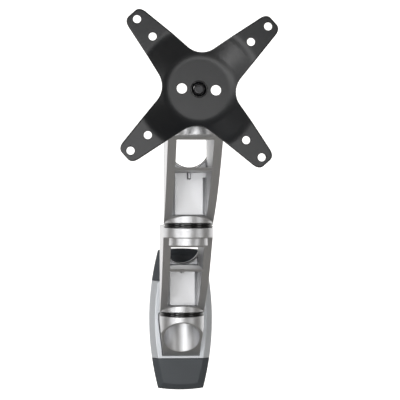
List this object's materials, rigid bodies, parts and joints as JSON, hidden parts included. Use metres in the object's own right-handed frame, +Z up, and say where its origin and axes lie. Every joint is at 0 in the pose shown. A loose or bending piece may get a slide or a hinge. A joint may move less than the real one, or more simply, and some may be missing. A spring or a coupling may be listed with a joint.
{
  "type": "full motion tv wall mount",
  "caption": "Folding wall mount for a television: a housed wall plate, two hollow cast arms on stacked vertical pivots, a tilting head and an X-shaped display plate.",
  "frame": {"origin": "centre of the wall plate's flat back, on the wall", "axes": "-Y reaches out from the wall towards the viewer, +Z up, +X to the viewer's right"},
  "size_m": [0.1204, 0.3904, 0.3414],
  "materials": {
    "cast_silver": "silver painted casting, satin",
    "cover_silver": "silver lacquered plastic, satin",
    "slate_plastic": "slate grey moulded plastic",
    "gloss_black": "glossy black plastic",
    "black_paint": "satin black powder coat on pressed steel",
    "nylon": "natural nylon",
    "black_steel": "black oxide steel",
    "zinc": "zinc plated steel"
  },
  "bodies": {
    "wall_side": {"wall_bracket": "zinc", "wall_cover": "cover_silver", "top_end_cap": "slate_plastic", "bottom_end_cap": "slate_plastic", "cover_screw_top": "zinc", "cover_screw_bottom": "zinc", "base_screw_1": "zinc", "base_screw_2": "zinc", "base_screw_3": "zinc", "base_screw_4": "zinc", "base_bracket": "cast_silver", "base_pivot_ring": "gloss_black", "base_pivot_bolt": "black_steel", "base_pivot_washer": "zinc"},
    "arm_1": {"arm_1": "cast_silver", "arm_1_window_trim": "gloss_black", "arm_1_friction_screw": "black_steel", "base_pivot_bush": "nylon", "elbow_pivot_ring": "gloss_black", "elbow_pivot_bolt": "black_steel", "elbow_pivot_washer": "zinc"},
    "arm_2": {"arm_2": "cast_silver", "arm_2_window_trim": "gloss_black", "arm_2_friction_screw": "black_steel", "elbow_pivot_bush": "nylon", "head_pivot_ring": "gloss_black", "head_pivot_bolt": "black_steel", "head_pivot_washer": "zinc"},
    "head": {"swivel_head": "cast_silver", "head_pivot_bush": "nylon", "tilt_bolt": "black_steel", "tilt_nut": "zinc", "tilt_washer_left": "nylon", "tilt_washer_right": "nylon"},
    "tilt": {"tilt_block": "black_paint"},
    "display": {"display_plate": "black_paint", "roll_washer": "nylon", "centre_washer": "gloss_black", "centre_screw": "black_steel"}
  },
  "joints": [
    {"name": "base_swivel", "type": "hinge", "parent": "wall_side", "child": "arm_1", "pos_m": [0, -0.0449, 0.0087], "axis": [0, 0, 1], "range_deg": [-90, 90]},
    {"name": "elbow_swivel", "type": "hinge", "parent": "arm_1", "child": "arm_2", "pos_m": [0, -0.1949, 0.1006], "axis": [0, 0, 1], "range_deg": [-180, 180]},
    {"name": "head_swivel", "type": "hinge", "parent": "arm_2", "child": "head", "pos_m": [0, -0.3449, 0.1925], "axis": [0, 0, 1], "range_deg": [-90, 90]},
    {"name": "head_tilt", "type": "hinge", "parent": "head", "child": "tilt", "pos_m": [0, -0.3659, 0.201], "axis": [1, 0, 0], "range_deg": [-15, 15]},
    {"name": "plate_roll", "type": "hinge", "parent": "tilt", "child": "display", "pos_m": [0, -0.3792, 0.2082], "axis": [0, 1, 0], "range_deg": [-7.8, 2.2]}
  ]
}
